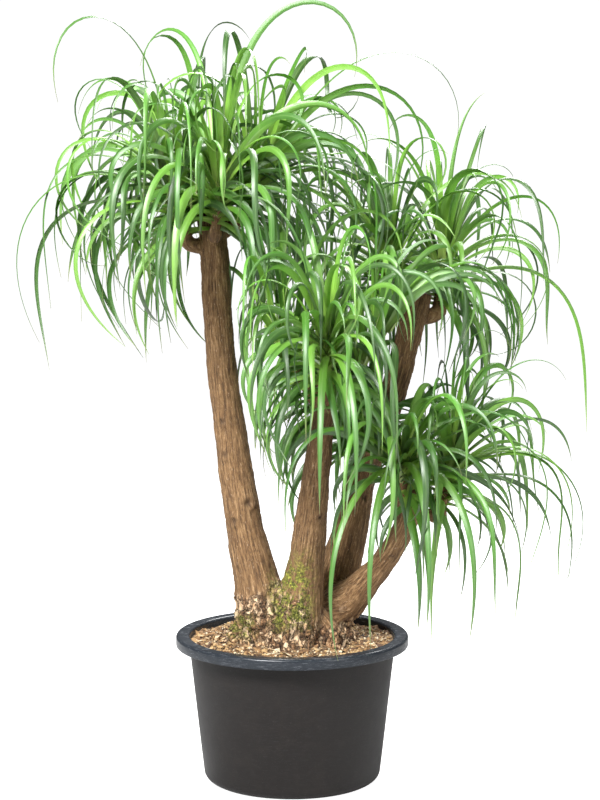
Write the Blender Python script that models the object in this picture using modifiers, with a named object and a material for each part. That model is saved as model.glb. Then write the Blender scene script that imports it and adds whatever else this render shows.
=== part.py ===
"""Potted ponytail palm: a plastic nursery pot, its soil, and a woody base with four sawn stems whose
side shoots each carry three whorls of strap leaves. Metres, +Z up, origin at the centre of the pot's underside."""

import math
import random

import bmesh
import bpy
import numpy as np
from mathutils import Matrix, Vector

# Pot
POT_HEIGHT = 0.252
RIM_RADIUS = 0.200
RIM_WIDTH = 0.0235
RIM_SKIRT = 0.018
RIM_ROUNDING = 0.005
BASE_RADIUS = 0.150
BASE_ROUNDING = 0.013
WALL = 0.0025
ROUND_STEPS = 40
DRAIN_HOLES = 8
DRAIN_RADIUS = 0.006
DRAIN_CIRCLE = 0.110

# Soil
GAP = 0.0003
SOIL_DEPTH_BELOW_RIM = 0.017
SOIL_MOUND = 0.008
SOIL_MOUND_RADIUS = 0.120
CAUDEX_CLEARANCE = 0.0006

# Woody base and stems: each stem is a route of (x, y, z, radius), from the root crown to its sawn top
CAUDEX_CENTRE = (-0.005, -0.008, 0.228)
CAUDEX_RADII = (0.098, 0.084, 0.074)
STEMS = {
    "tall": (
        (-0.036, -0.026, 0.215, 0.056),
        (-0.045, -0.026, 0.281, 0.051),
        (-0.061, -0.020, 0.349, 0.039),
        (-0.074, -0.010, 0.402, 0.034),
        (-0.086, 0.000, 0.463, 0.031),
        (-0.104, 0.014, 0.585, 0.0275),
        (-0.121, 0.020, 0.723, 0.0255),
        (-0.130, 0.020, 0.860, 0.0245),
        (-0.137, 0.020, 0.983, 0.0235),
    ),
    "middle": (
        (0.000, -0.042, 0.215, 0.054),
        (0.006, -0.042, 0.275, 0.050),
        (0.017, -0.046, 0.336, 0.038),
        (0.025, -0.055, 0.390, 0.031),
        (0.032, -0.070, 0.454, 0.0275),
        (0.045, -0.100, 0.580, 0.0215),
        (0.060, -0.120, 0.703, 0.0170),
    ),
    "rear": (
        (0.045, 0.020, 0.240, 0.046),
        (0.073, 0.040, 0.319, 0.041),
        (0.090, 0.060, 0.375, 0.034),
        (0.104, 0.075, 0.429, 0.0295),
        (0.122, 0.090, 0.512, 0.026),
        (0.149, 0.100, 0.574, 0.0245),
        (0.177, 0.110, 0.658, 0.0235),
        (0.201, 0.120, 0.748, 0.0230),
        (0.222, 0.130, 0.832, 0.0225),
    ),
    "right": (
        (0.035, 0.005, 0.262, 0.038),
        (0.086, 0.000, 0.302, 0.036),
        (0.116, -0.018, 0.333, 0.028),
        (0.146, -0.038, 0.373, 0.0215),
        (0.174, -0.055, 0.416, 0.0192),
        (0.198, -0.070, 0.470, 0.0175),
        (0.216, -0.080, 0.515, 0.0165),
    ),
}
STEM_BEVEL_RESOLUTION = 4
ROOTS = 9
ROOT_TOP = (0.055, 0.292, 0.020)
ROOT_BEND = (0.092, 0.250, 0.019)
ROOT_FOOT = (0.118, 0.218, 0.010)

# Shoots: each sprouts beside the top of its stem from (x, y, z), grows along (x, y, z), and has leaves this long
SHOOTS = {
    "tall_left": ("tall", (-0.179, 0.004, 0.932), (-0.24, -0.10, 0.96), 0.33),
    "tall_front": ("tall", (-0.126, -0.026, 0.950), (0.05, -0.38, 0.92), 0.34),
    "tall_right": ("tall", (-0.092, 0.036, 0.963), (0.42, 0.08, 0.90), 0.39),
    "tall_back": ("tall", (-0.152, 0.066, 0.960), (-0.18, 0.52, 0.84), 0.33),
    "middle_front": ("middle", (0.060, -0.157, 0.690), (-0.04, -0.50, 0.86), 0.30),
    "middle_left": ("middle", (0.024, -0.106, 0.694), (-0.55, 0.10, 0.83), 0.32),
    "middle_right": ("middle", (0.096, -0.104, 0.698), (0.55, 0.20, 0.81), 0.29),
    "rear_left": ("rear", (0.182, 0.106, 0.812), (-0.16, -0.22, 0.96), 0.33),
    "rear_right": ("rear", (0.258, 0.136, 0.804), (0.10, -0.02, 0.99), 0.25),
    "rear_low": ("rear", (0.132, 0.054, 0.556), (-0.30, -0.48, 0.82), 0.25),
    "right_front": ("right", (0.184, -0.106, 0.505), (-0.05, -0.42, 0.90), 0.26),
    "right_side": ("right", (0.248, -0.074, 0.482), (0.24, 0.02, 0.97), 0.22),
}
STUB_RADIUS = 0.0115
STUB_NECK = 0.010

# Whorls, from the lowest and oldest leaves of a shoot to its heart: how far the leaves lean from the shoot's
# axis, the share of the shoot's leaf length that they reach, how fast they bend down in radians a metre, and the
# collar's lower and upper radius
WHORLS = {
    "outer": {"lean": 66, "reach": 1.02, "sag": 24.0, "collar": (0.0105, 0.0170)},
    "middle": {"lean": 38, "reach": 1.22, "sag": 19.0, "collar": (0.0165, 0.0155)},
    "inner": {"lean": 15, "reach": 1.45, "sag": 11.0, "collar": (0.0150, 0.0110)},
}
COLLAR_HEIGHT = 0.024
LEAVES_PER_WHORL = 5
LEAF_WIDTH = 0.017
LEAF_THICKNESS = 0.003
LEAF_TIP_WIDTH = 0.003
LEAF_SECTIONS = 6
LEAF_VARIETY = 0.16
LEAN_VARIETY = 9
SEED = 11
LEAF_CLEARANCE = 0.0125
TURN_TRIES = (0, 8, -8, 16, -16, 26, -26, 36, -36)
LENGTH_TRIES = (1.0, 0.86, 0.72, 0.58, 0.44)
DOWN = Vector((0, 0, -1))

COLOURS = {
    "pot": ((0.022, 0.022, 0.024), 0.45),
    "soil": ((0.120, 0.080, 0.050), 0.95),
    "bark": ((0.270, 0.165, 0.090), 0.90),
    "leaf": ((0.130, 0.330, 0.060), 0.40),
}


def clear_scene():
    for obj in list(bpy.data.objects):
        bpy.data.objects.remove(obj, do_unlink=True)


def material(name):
    """A Principled material of the named colour and roughness."""
    found = bpy.data.materials.get(name)
    if found is None:
        colour, roughness = COLOURS[name]
        found = bpy.data.materials.new(name)
        found.use_nodes = True
        shader = found.node_tree.nodes["Principled BSDF"]
        shader.inputs["Base Color"].default_value = (*colour, 1)
        shader.inputs["Roughness"].default_value = roughness
    return found


def collection(name):
    made = bpy.data.collections.new(name)
    bpy.context.scene.collection.children.link(made)
    return made


def add_object(name, data, home, material_name=None):
    obj = bpy.data.objects.new(name, data)
    home.objects.link(obj)
    if material_name:
        data.materials.append(material(material_name))
    return obj


def hide_helper(obj):
    obj.hide_render = True
    obj.display_type = "WIRE"


def add_boolean(obj, other, operation):
    modifier = obj.modifiers.new(other.name, "BOOLEAN")
    modifier.operation = operation
    modifier.solver = "EXACT"
    modifier.object = other


def arc(centre, radius, start_deg, end_deg, steps):
    """Points (r, z) on an arc in the turned profile's plane."""
    for step in range(steps + 1):
        angle = math.radians(start_deg + (end_deg - start_deg) * step / steps)
        yield centre[0] + radius * math.cos(angle), centre[1] + radius * math.sin(angle)


def turned(name, profile, home, material_name):
    """An open or closed (r, z) profile, turned about Z with a Screw modifier."""
    mesh = bpy.data.meshes.new(name)
    edges = [(i, i + 1) for i in range(len(profile) - 1)]
    mesh.from_pydata([(r, 0, z) for r, z in profile], edges, [])
    obj = add_object(name, mesh, home, material_name)
    screw = obj.modifiers.new("Turn", "SCREW")
    screw.steps = screw.render_steps = ROUND_STEPS
    screw.use_merge_vertices = True
    screw.merge_threshold = 0.00005
    screw.use_smooth_shade = True
    return obj


def wall_radius(z):
    """Radius of the pot's inner face at height z, on its straight tapered wall."""
    share = (z - BASE_ROUNDING) / (POT_HEIGHT - BASE_ROUNDING)
    return BASE_RADIUS + (RIM_RADIUS - RIM_WIDTH - BASE_RADIUS) * share


# ---------------------------------------------------------------- pot and soil


def make_pot(home, helpers):
    """A tapered tub with a rolled rim whose skirt hangs outside, a rounded foot and drain holes."""
    top = POT_HEIGHT - RIM_ROUNDING
    profile = [(RIM_RADIUS, POT_HEIGHT - RIM_SKIRT)]
    profile += arc((RIM_RADIUS - RIM_ROUNDING, top), RIM_ROUNDING, 0, 90, 3)
    profile += arc((wall_radius(top) + RIM_ROUNDING, top), RIM_ROUNDING, 90, 180, 3)
    foot = (BASE_RADIUS - BASE_ROUNDING, BASE_ROUNDING + WALL)
    profile += arc(foot, BASE_ROUNDING, 0, -90, 3)
    profile.append((0, WALL))
    pot = turned("pot", profile, home, "pot")
    shell = pot.modifiers.new("Wall", "SOLIDIFY")
    shell.thickness = WALL
    shell.offset = 1
    shell.use_even_offset = True
    for number in range(DRAIN_HOLES):
        angle = 2 * math.pi * number / DRAIN_HOLES
        place = (DRAIN_CIRCLE * math.cos(angle), DRAIN_CIRCLE * math.sin(angle), WALL / 2)
        bpy.ops.mesh.primitive_cylinder_add(vertices=12, radius=DRAIN_RADIUS, depth=4 * WALL, location=place)
        drill = bpy.context.object
        drill.name = f"drain_drill_{number + 1}"
        for owner in drill.users_collection:
            owner.objects.unlink(drill)
        helpers.objects.link(drill)
        hide_helper(drill)
        add_boolean(pot, drill, "DIFFERENCE")
    return pot


def make_soil(home, cutter):
    """The soil fills the pot to just below its rim, rises a little round the plant, and is cut where the base sits."""
    edge = POT_HEIGHT - SOIL_DEPTH_BELOW_RIM
    floor = WALL + GAP
    profile = [
        (0, edge + SOIL_MOUND),
        (SOIL_MOUND_RADIUS * 0.6, edge + SOIL_MOUND),
        (SOIL_MOUND_RADIUS, edge + SOIL_MOUND / 2),
        (wall_radius(edge) - 3 * GAP, edge),
    ]
    foot = (BASE_RADIUS - BASE_ROUNDING, BASE_ROUNDING + WALL)
    profile += arc(foot, BASE_ROUNDING - 3 * GAP, 0, -90, 3)
    profile.append((0, floor + 2 * GAP))
    soil = turned("soil", profile, home, "soil")
    add_boolean(soil, cutter, "DIFFERENCE")
    return soil


# ---------------------------------------------------------------- woody base


def tube(name, route, home, material_name, grow=0.0):
    """A closed tapered tube along points (x, y, z, radius), as a mesh with welded caps."""
    curve = bpy.data.curves.new(name, "CURVE")
    curve.dimensions = "3D"
    curve.bevel_depth = 1.0
    curve.bevel_resolution = STEM_BEVEL_RESOLUTION
    curve.use_fill_caps = True
    spline = curve.splines.new("POLY")
    spline.points.add(len(route) - 1)
    for point, (x, y, z, radius) in zip(spline.points, route):
        point.co = (x, y, z, 1)
        point.radius = radius + grow
    drawn = bpy.data.objects.new(name, curve)
    home.objects.link(drawn)
    bpy.context.view_layer.update()
    graph = bpy.context.evaluated_depsgraph_get()
    mesh = bpy.data.meshes.new_from_object(drawn.evaluated_get(graph))
    place = drawn.matrix_world.copy()
    bpy.data.objects.remove(drawn, do_unlink=True)
    shape = bmesh.new()
    shape.from_mesh(mesh)
    bmesh.ops.remove_doubles(shape, verts=shape.verts, dist=0.00001)
    bmesh.ops.recalc_face_normals(shape, faces=shape.faces)
    shape.to_mesh(mesh)
    shape.free()
    mesh.materials.clear()
    made = add_object(name, mesh, home, material_name)
    made.matrix_world = place
    return made


def root_routes():
    """Short buttress roots that run from the swollen base down into the soil."""
    for number in range(ROOTS):
        angle = 2 * math.pi * (number + 0.35 * math.sin(2.4 * number)) / ROOTS
        swell = 1 + 0.12 * math.sin(1.7 * number)
        route = []
        for distance, height, radius in (ROOT_TOP, ROOT_BEND, ROOT_FOOT):
            x = CAUDEX_CENTRE[0] + distance * math.cos(angle)
            y = CAUDEX_CENTRE[1] + 0.86 * distance * math.sin(angle)
            route.append((x, y, height, radius * swell))
        yield f"root_{number + 1}", route


def stub_routes():
    """The short woody stub that joins each shoot to its stem."""
    for name, (stem, base, direction, _) in SHOOTS.items():
        inside = min(STEMS[stem], key=lambda p: (Vector(p[:3]) - Vector(base)).length)
        lower = nearest_on_stem(stem, Vector(base)) - Vector((0, 0, 0.012))
        middle = lower.lerp(Vector(base), 0.5)
        middle.z -= 0.010
        radius = min(STUB_RADIUS, inside[3] * 0.8)
        neck = Vector(base) - Vector(direction).normalized() * STUB_NECK
        yield f"stub_{name}", [
            (*lower, radius),
            (*middle, STUB_RADIUS * 1.1),
            (*neck, STUB_RADIUS),
            (*base, STUB_RADIUS * 0.95),
        ]


def nearest_on_stem(stem, point):
    """The nearest place to a point on a stem's centreline, kept a little below its sawn top."""
    centres = sample_route([Vector(p[:3]) for p in STEMS[stem]], 0.01)
    return min(centres[:-3], key=lambda c: (c - point).length)


def woody_body(name, home, helpers, grow=0.0):
    """The swollen base, four stems, roots and stubs, united into one body. grow makes every part that much fatter."""
    made = bmesh.new()
    bmesh.ops.create_uvsphere(made, u_segments=20, v_segments=10, radius=1.0)
    radii = [r + grow for r in CAUDEX_RADII]
    made.transform(Matrix.Translation(CAUDEX_CENTRE) @ Matrix.Diagonal((*radii, 1)))
    mesh = bpy.data.meshes.new(name)
    made.to_mesh(mesh)
    made.free()
    body = add_object(name, mesh, home, "bark")
    routes = [(f"{stem}_stem", route) for stem, route in STEMS.items()]
    routes += [*root_routes(), *stub_routes()]
    for limb_name, route in routes:
        limb = tube(f"{name}_{limb_name}", route, helpers, "bark", grow)
        hide_helper(limb)
        add_boolean(body, limb, "UNION")
    return body


# ---------------------------------------------------------------- leaves


def sample_route(points, spacing):
    """Points about every spacing along a polyline, its ends included."""
    found = [points[0]]
    for a, b in zip(points, points[1:]):
        count = max(1, round((b - a).length / spacing))
        found += [a.lerp(b, (i + 1) / count) for i in range(count)]
    return found


def leaf_route(start, heading, length, bend):
    """Places and headings along a leaf that sets off along heading, and bends down more and more under its weight."""
    step = length / LEAF_SECTIONS
    places, headings = [start.copy()], [heading.copy()]
    for number in range(LEAF_SECTIONS):
        share = (number + 0.5) / LEAF_SECTIONS
        sag = bend * step * (0.15 + 2.2 * share**2)
        heading = (heading + DOWN * sag).normalized()
        places.append(places[-1] + heading * step)
        headings.append(heading)
    return places, headings


def is_clear(points, others):
    """Whether every point keeps the leaf's clearance from the (x, y, z, radius) of what is there already."""
    if not len(others):
        return True
    own = np.array([tuple(p) for p in points])
    apart = np.linalg.norm(own[:, None, :] - others[None, :, :3], axis=2)
    return bool((apart - others[None, :, 3] > LEAF_CLEARANCE).all())


def find_route(start, outward, axis, lean, length, bend, others):
    """The leaf's route with the least turn and the longest reach that stays clear, or None."""
    for share in LENGTH_TRIES:
        for turn in TURN_TRIES:
            side = Matrix.Rotation(math.radians(turn), 3, axis) @ outward
            heading = (axis * math.cos(lean) + side * math.sin(lean)).normalized()
            places, headings = leaf_route(start, heading, length * share, bend)
            if is_clear(sample_route(places, 0.012)[1:], others):
                return places, headings
    return None


def leaf_width(share):
    """Full width at a share of the leaf's length: widest near the base, then a long taper to the tip."""
    widest = LEAF_WIDTH * min(1, 0.75 + 1.6 * share)
    return LEAF_TIP_WIDTH + (widest - LEAF_TIP_WIDTH) * (1 - share**2.2)


def corners_of(face, centre, tangent, axis):
    """Each corner of a collar's side face as (across, up) signs, in the face's own order."""
    return [
        (
            math.copysign(1, (vert.co - centre).dot(tangent)),
            math.copysign(1, (vert.co - centre).dot(axis)),
        )
        for vert in face.verts
    ]


def level_side(heading, tangent):
    """The level direction across a leaf that sets off along heading, on the tangent's side."""
    level = heading.cross(DOWN)
    if level.length < 0.1:
        return tangent
    if level.dot(tangent) < 0:
        level.negate()
    return level.normalized()


def grow_leaf(mesh, face, places, headings, tangent, axis):
    """Extrudes one side face of a collar, section by section, into a tapering strap leaf."""
    corners = corners_of(face, face.calc_center_median(), tangent, axis)
    level = level_side(headings[0], tangent)
    last_up = axis
    for number in range(1, len(places)):
        share = number / LEAF_SECTIONS
        heading = headings[number]
        across = tangent.lerp(level, min(1, 2 * share))
        across = (across - heading * across.dot(heading)).normalized()
        up = across.cross(heading)
        if up.dot(last_up) < 0:
            up.negate()
        last_up = up
        width = leaf_width(share)
        thickness = LEAF_THICKNESS * (1 - 0.5 * share)
        face = bmesh.ops.extrude_discrete_faces(mesh, faces=[face])["faces"][0]
        for vert, (side, lift) in zip(face.verts, corners):
            vert.co = places[number] + across * side * width / 2 + up * lift * thickness / 2


def whorl_collar(mesh, foot, axis, radii):
    """A collar of short side faces round the shoot's axis. Returns every other side face, one for each leaf."""
    turn = axis.to_track_quat("Z", "Y").to_matrix().to_4x4()
    place = Matrix.Translation(foot + axis * COLLAR_HEIGHT / 2) @ turn
    bmesh.ops.create_cone(
        mesh,
        cap_ends=True,
        segments=2 * LEAVES_PER_WHORL,
        radius1=radii[0],
        radius2=radii[1],
        depth=COLLAR_HEIGHT,
        matrix=place,
    )
    mesh.faces.ensure_lookup_table()
    middle = foot + axis * COLLAR_HEIGHT / 2
    sides = [f for f in mesh.faces if len(f.verts) == 4]

    def bearing(face):
        local = turn.to_3x3().inverted() @ (face.calc_center_median() - middle)
        return math.atan2(local.y, local.x)

    return sorted(sides, key=bearing)[::2]


def make_whorl(name, foot, axis, length, whorl, home, others, chance):
    """One whorl of leaves on its collar. Returns the (x, y, z, radius) that the new leaves take up."""
    mesh = bmesh.new()
    centre = foot + axis * COLLAR_HEIGHT / 2
    taken = []
    for face in whorl_collar(mesh, foot, axis, whorl["collar"]):
        start = face.calc_center_median()
        outward = start - centre
        outward = (outward - axis * outward.dot(axis)).normalized()
        tangent = axis.cross(outward).normalized()
        lean = math.radians(whorl["lean"] + chance.uniform(-LEAN_VARIETY, LEAN_VARIETY))
        reach = length * whorl["reach"] * chance.uniform(1 - LEAF_VARIETY, 1 + LEAF_VARIETY)
        found = find_route(start, outward, axis, lean, reach, whorl["sag"], others)
        if found is None:
            continue
        places, headings = found
        grow_leaf(mesh, face, places, headings, tangent, axis)
        taken += [(*p, LEAF_WIDTH / 2) for p in sample_route(places, 0.012)]
    bmesh.ops.recalc_face_normals(mesh, faces=mesh.faces)
    if mesh.calc_volume(signed=True) < 0:
        bmesh.ops.reverse_faces(mesh, faces=mesh.faces)
    data = bpy.data.meshes.new(name)
    mesh.to_mesh(data)
    mesh.free()
    add_object(name, data, home, "leaf")
    return taken


def wood_in_the_way():
    """(x, y, z, radius) along every stem and stub."""
    found = []
    for route in [*STEMS.values(), *(stub for _, stub in stub_routes())]:
        for a, b in zip(route, route[1:]):
            for share in np.linspace(0, 1, 9):
                found.append(tuple(np.array(a) * (1 - share) + np.array(b) * share))
    return found


def make_leaves(home):
    """Three whorls on every shoot. Each leaf keeps clear of the wood and of the leaves of the other shoots."""
    chance = random.Random(SEED)
    wood = wood_in_the_way()
    stacks = {}
    for shoot, (_, base, direction, _) in SHOOTS.items():
        axis = Vector(direction).normalized()
        reach = len(WHORLS) * COLLAR_HEIGHT
        heights = [reach * i / 6 for i in range(7)]
        stacks[shoot] = [(*(Vector(base) + axis * h), 0.016) for h in heights]
    leaves = {shoot: [] for shoot in SHOOTS}
    for shoot, (_, base, direction, length) in SHOOTS.items():
        axis = Vector(direction).normalized()
        others = list(wood)
        for other in SHOOTS:
            if other != shoot:
                others += stacks[other] + leaves[other]
        others = np.array(others)
        for order, (tier, whorl) in enumerate(WHORLS.items()):
            foot = Vector(base) + axis * (GAP + order * (COLLAR_HEIGHT + GAP))
            name = f"{shoot}_shoot_{tier}_leaves"
            leaves[shoot] += make_whorl(name, foot, axis, length, whorl, home, others, chance)


def main():
    clear_scene()
    plant = collection("potted_ponytail_palm")
    helpers = collection("cutters_and_limbs")
    make_pot(plant, helpers)
    woody_body("trunk", plant, helpers)
    socket = woody_body("soil_socket", helpers, helpers, CAUDEX_CLEARANCE)
    hide_helper(socket)
    make_soil(plant, socket)
    make_leaves(plant)


if __name__ == "__main__":
    main()
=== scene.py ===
"""Looks of the potted ponytail palm: a moulded pot, chipped bark soil, furrowed sawn stems, and mops of
channelled strap leaves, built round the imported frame. Metres, +Z up, seen along +Y."""

import math
import random

import bmesh
import bpy
import numpy as np
from mathutils import Matrix, Vector
from mathutils.kdtree import KDTree


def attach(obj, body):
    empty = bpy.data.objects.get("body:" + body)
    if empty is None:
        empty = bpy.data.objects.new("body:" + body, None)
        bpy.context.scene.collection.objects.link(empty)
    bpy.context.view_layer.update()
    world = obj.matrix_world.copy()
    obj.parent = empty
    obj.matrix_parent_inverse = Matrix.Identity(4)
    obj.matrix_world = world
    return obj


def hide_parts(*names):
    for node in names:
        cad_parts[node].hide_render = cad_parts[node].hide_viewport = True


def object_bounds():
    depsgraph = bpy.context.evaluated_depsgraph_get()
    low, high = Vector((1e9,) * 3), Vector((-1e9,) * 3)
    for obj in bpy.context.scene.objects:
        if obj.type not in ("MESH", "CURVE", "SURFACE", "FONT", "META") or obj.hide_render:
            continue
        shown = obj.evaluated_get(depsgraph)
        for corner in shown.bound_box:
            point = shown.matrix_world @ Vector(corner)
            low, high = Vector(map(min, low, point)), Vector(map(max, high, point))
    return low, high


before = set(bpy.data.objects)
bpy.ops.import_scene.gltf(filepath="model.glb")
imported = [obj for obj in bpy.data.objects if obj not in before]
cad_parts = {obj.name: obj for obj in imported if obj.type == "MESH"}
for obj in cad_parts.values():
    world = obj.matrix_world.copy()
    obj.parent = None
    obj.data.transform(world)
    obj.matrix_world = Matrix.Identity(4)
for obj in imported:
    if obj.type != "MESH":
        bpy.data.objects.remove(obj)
cad_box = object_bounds()

# Pot and soil, as in the frame
POT_HEIGHT = 0.252
RIM_RADIUS = 0.200
RIM_WIDTH = 0.0235
RIM_SKIRT = 0.018
RIM_ROUNDING = 0.005
BASE_RADIUS = 0.150
BASE_ROUNDING = 0.013
WALL = 0.0025
DRAIN_HOLES = 8
DRAIN_RADIUS = 0.006
DRAIN_CIRCLE = 0.110
DRAIN_DEPTH = 0.01
SOIL_LEVEL = 0.240
SOIL_MOUND = 0.004
SOIL_RINGS = 90
SOIL_SPOKES = 220
SOIL_GAP = 0.0009
BARK_CHIPS = 2100
GRIT = 1700

# Woody base and stems, as in the frame: (x, y, z, radius) from the root crown to the sawn top
CAUDEX_CENTRE = (-0.005, -0.008, 0.228)
CAUDEX_RADII = (0.098, 0.084, 0.074)
STEMS = {
    "tall": (
        (-0.036, -0.026, 0.215, 0.056),
        (-0.045, -0.026, 0.281, 0.051),
        (-0.061, -0.020, 0.349, 0.039),
        (-0.074, -0.010, 0.402, 0.034),
        (-0.086, 0.000, 0.463, 0.031),
        (-0.104, 0.014, 0.585, 0.0275),
        (-0.121, 0.020, 0.723, 0.0255),
        (-0.130, 0.020, 0.860, 0.0245),
        (-0.137, 0.020, 0.983, 0.0235),
    ),
    "middle": (
        (0.000, -0.042, 0.215, 0.054),
        (0.006, -0.042, 0.275, 0.050),
        (0.017, -0.046, 0.336, 0.038),
        (0.025, -0.055, 0.390, 0.031),
        (0.032, -0.070, 0.454, 0.0275),
        (0.045, -0.100, 0.580, 0.0215),
        (0.060, -0.120, 0.703, 0.0170),
    ),
    "rear": (
        (0.045, 0.020, 0.240, 0.046),
        (0.073, 0.040, 0.319, 0.041),
        (0.090, 0.060, 0.375, 0.034),
        (0.104, 0.075, 0.429, 0.0295),
        (0.122, 0.090, 0.512, 0.026),
        (0.149, 0.100, 0.574, 0.0245),
        (0.177, 0.110, 0.658, 0.0235),
        (0.201, 0.120, 0.748, 0.0230),
        (0.222, 0.130, 0.832, 0.0225),
    ),
    "right": (
        (0.035, 0.005, 0.262, 0.038),
        (0.086, 0.000, 0.302, 0.036),
        (0.116, -0.018, 0.333, 0.028),
        (0.146, -0.038, 0.373, 0.0215),
        (0.174, -0.055, 0.416, 0.0192),
        (0.198, -0.070, 0.470, 0.0175),
        (0.216, -0.080, 0.515, 0.0165),
    ),
}
ROOTS = 9
ROOT_TOP = (0.055, 0.292, 0.020)
ROOT_BEND = (0.092, 0.250, 0.019)
ROOT_FOOT = (0.118, 0.218, 0.010)
BARK_VOXEL = 0.0028
GRAIN_STRETCH = 0.38
# Height up to which the wood is cracked and flaking, before it is made uneven
FLAKING_TOP = 0.342
# Knots where side shoots once grew: stem, height, angle round the stem (0 is +X, -90 faces the viewer),
# radius
KNOTS = (
    ("tall", 0.620, -112, 0.010),
    ("tall", 0.562, -118, 0.009),
    ("tall", 0.482, -62, 0.012),
    ("tall", 0.452, -118, 0.010),
    ("middle", 0.470, -60, 0.008),
    ("rear", 0.480, -60, 0.009),
    ("right", 0.400, -80, 0.007),
)

# Shoots, as in the frame: stem, foot, direction, usual leaf length
SHOOTS = {
    "tall_left": ("tall", (-0.179, 0.004, 0.932), (-0.24, -0.10, 0.96), 0.46),
    "tall_front": ("tall", (-0.126, -0.026, 0.950), (0.05, -0.38, 0.92), 0.44),
    "tall_right": ("tall", (-0.092, 0.036, 0.963), (0.42, 0.08, 0.90), 0.48),
    "tall_back": ("tall", (-0.152, 0.066, 0.960), (-0.18, 0.52, 0.84), 0.44),
    "middle_front": ("middle", (0.060, -0.157, 0.690), (-0.04, -0.50, 0.86), 0.42),
    "middle_left": ("middle", (0.024, -0.106, 0.694), (-0.55, 0.10, 0.83), 0.42),
    "middle_right": ("middle", (0.096, -0.104, 0.698), (0.55, 0.20, 0.81), 0.40),
    "rear_left": ("rear", (0.182, 0.106, 0.812), (-0.16, -0.22, 0.96), 0.42),
    "rear_right": ("rear", (0.258, 0.136, 0.804), (0.10, -0.02, 0.99), 0.44),
    "rear_low": ("rear", (0.132, 0.054, 0.556), (-0.30, -0.48, 0.82), 0.32),
    "right_front": ("right", (0.184, -0.106, 0.505), (-0.05, -0.42, 0.90), 0.36),
    "right_side": ("right", (0.248, -0.074, 0.482), (0.24, 0.02, 0.97), 0.36),
}
STUB_RADIUS = 0.0115
# Tiers of a shoot: leaves, range of height on the shoot's axis, lean from it in degrees, share of the usual
# length, bend in radians a metre at the foot and at the tip, share of the usual width, and youth
TIERS = {
    "outer": {
        "leaves": 24,
        "rise": (0.006, 0.045),
        "lean": (50, 96),
        "reach": (0.45, 0.98),
        "bend": (4.5, 20.0),
        "width": 1,
        "young": 0.05,
    },
    "middle": {
        "leaves": 27,
        "rise": (0.040, 0.085),
        "lean": (24, 62),
        "reach": (0.58, 1.12),
        "bend": (2.6, 23.0),
        "width": 1,
        "young": 0.30,
    },
    "inner": {
        "leaves": 20,
        "rise": (0.080, 0.115),
        "lean": (4, 36),
        "reach": (0.45, 1.02),
        "bend": (1.8, 23.0),
        "width": 0.8,
        "young": 0.85,
    },
}
LEAF_WIDTH = 0.0158
LEAF_THICKNESS = 0.0009
GOLDEN_ANGLE = 2.39996
# How often a leaf that isn't free is grown again before it is left out
TRIES = 16
# The leaf's first sections clasp the shoot, so they aren't kept off the wood
CLASPED = 4
# Leaves that stand out: the longest arches, and those that hang in front of a stem. For each shoot: azimuth
# round it (0 is to the left, 90 towards the viewer), lean from its axis, length, bend as for the tiers, and
# curl
LONG_LEAF_RISE = 0.070
LONG_LEAVES = {
    "tall_left": (
        (180, 6, 0.54, (2.0, 13.0), 6),
        (0, 24, 0.50, (3.0, 12.0), 6),
        (20, 40, 0.50, (4.0, 11.0), 6),
    ),
    "tall_front": ((258, 22, 0.53, (2.5, 12.0), 6),),
    "tall_right": (
        (180, 3, 0.56, (1.5, 7.0), 6),
        (110, 12, 0.52, (2.5, 12.0), 7),
        (180, 30, 0.50, (3.0, 12.0), 6),
    ),
    "middle_front": (
        (85, 45, 0.34, (7.0, 12.0), 3),
        (110, 40, 0.36, (7.0, 12.0), 4),
    ),
    "rear_right": ((180, 18, 0.50, (3.0, 10.0), 6),),
    "right_front": (
        (70, 50, 0.40, (6.0, 10.0), 4),
        (105, 45, 0.38, (7.0, 10.0), 5),
        (130, 55, 0.40, (6.0, 12.0), 4),
        (50, 62, 0.42, (5.0, 9.0), 5),
    ),
    "right_side": ((180, 40, 0.42, (6.0, 10.0), 8),),
}
LEAF_SECTIONS = 30
LEAF_FOLD = 0.26
CORE_SIDES = 12
# Where leaves part in front of a stem: stem, from this height to this one, and how far they keep clear of
# its sides
PARTINGS = (
    ("tall", 0.250, 0.935, 0.016),
    ("middle", 0.250, 0.610, 0.004),
    ("rear", 0.300, 0.530, 0.002),
    ("rear", 0.665, 0.835, -0.003),
    ("right", 0.280, 0.430, 0.000),
)
# The lowest that the leaves of each stem's shoots hang
LOWEST = {"tall": 0.745, "middle": 0.545, "rear": 0.470, "right": 0.285}
LOWEST_OF_ALL = 0.27
SEED = 5
DOWN = Vector((0, 0, -1))
CAMERA_PLACE = (0.0135, -3.6, 1.063)
CAMERA_TILT = 6.45
CAMERA_LENS = 95.8


def new_piece(name, mesh, *materials):
    """A piece that rides on the one body of the plant."""
    obj = bpy.data.objects.new(name, mesh)
    bpy.context.scene.collection.objects.link(obj)
    for material in materials:
        mesh.materials.append(material)
    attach(obj, "root")
    return obj


def mesh_from(name, points, faces, smooth=True):
    mesh = bpy.data.meshes.new(name)
    mesh.from_pydata([tuple(p) for p in points], [], faces)
    if smooth:
        mesh.shade_smooth()
    return mesh


def store(mesh, name, values, kind="FLOAT"):
    """A named value, or vector, for every vertex."""
    field = "vector" if kind == "FLOAT_VECTOR" else "value"
    attribute = mesh.attributes.new(name, kind, "POINT")
    attribute.data.foreach_set(field, np.asarray(values, np.float32).ravel())


# ---------------------------------------------------------------- material helpers


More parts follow.
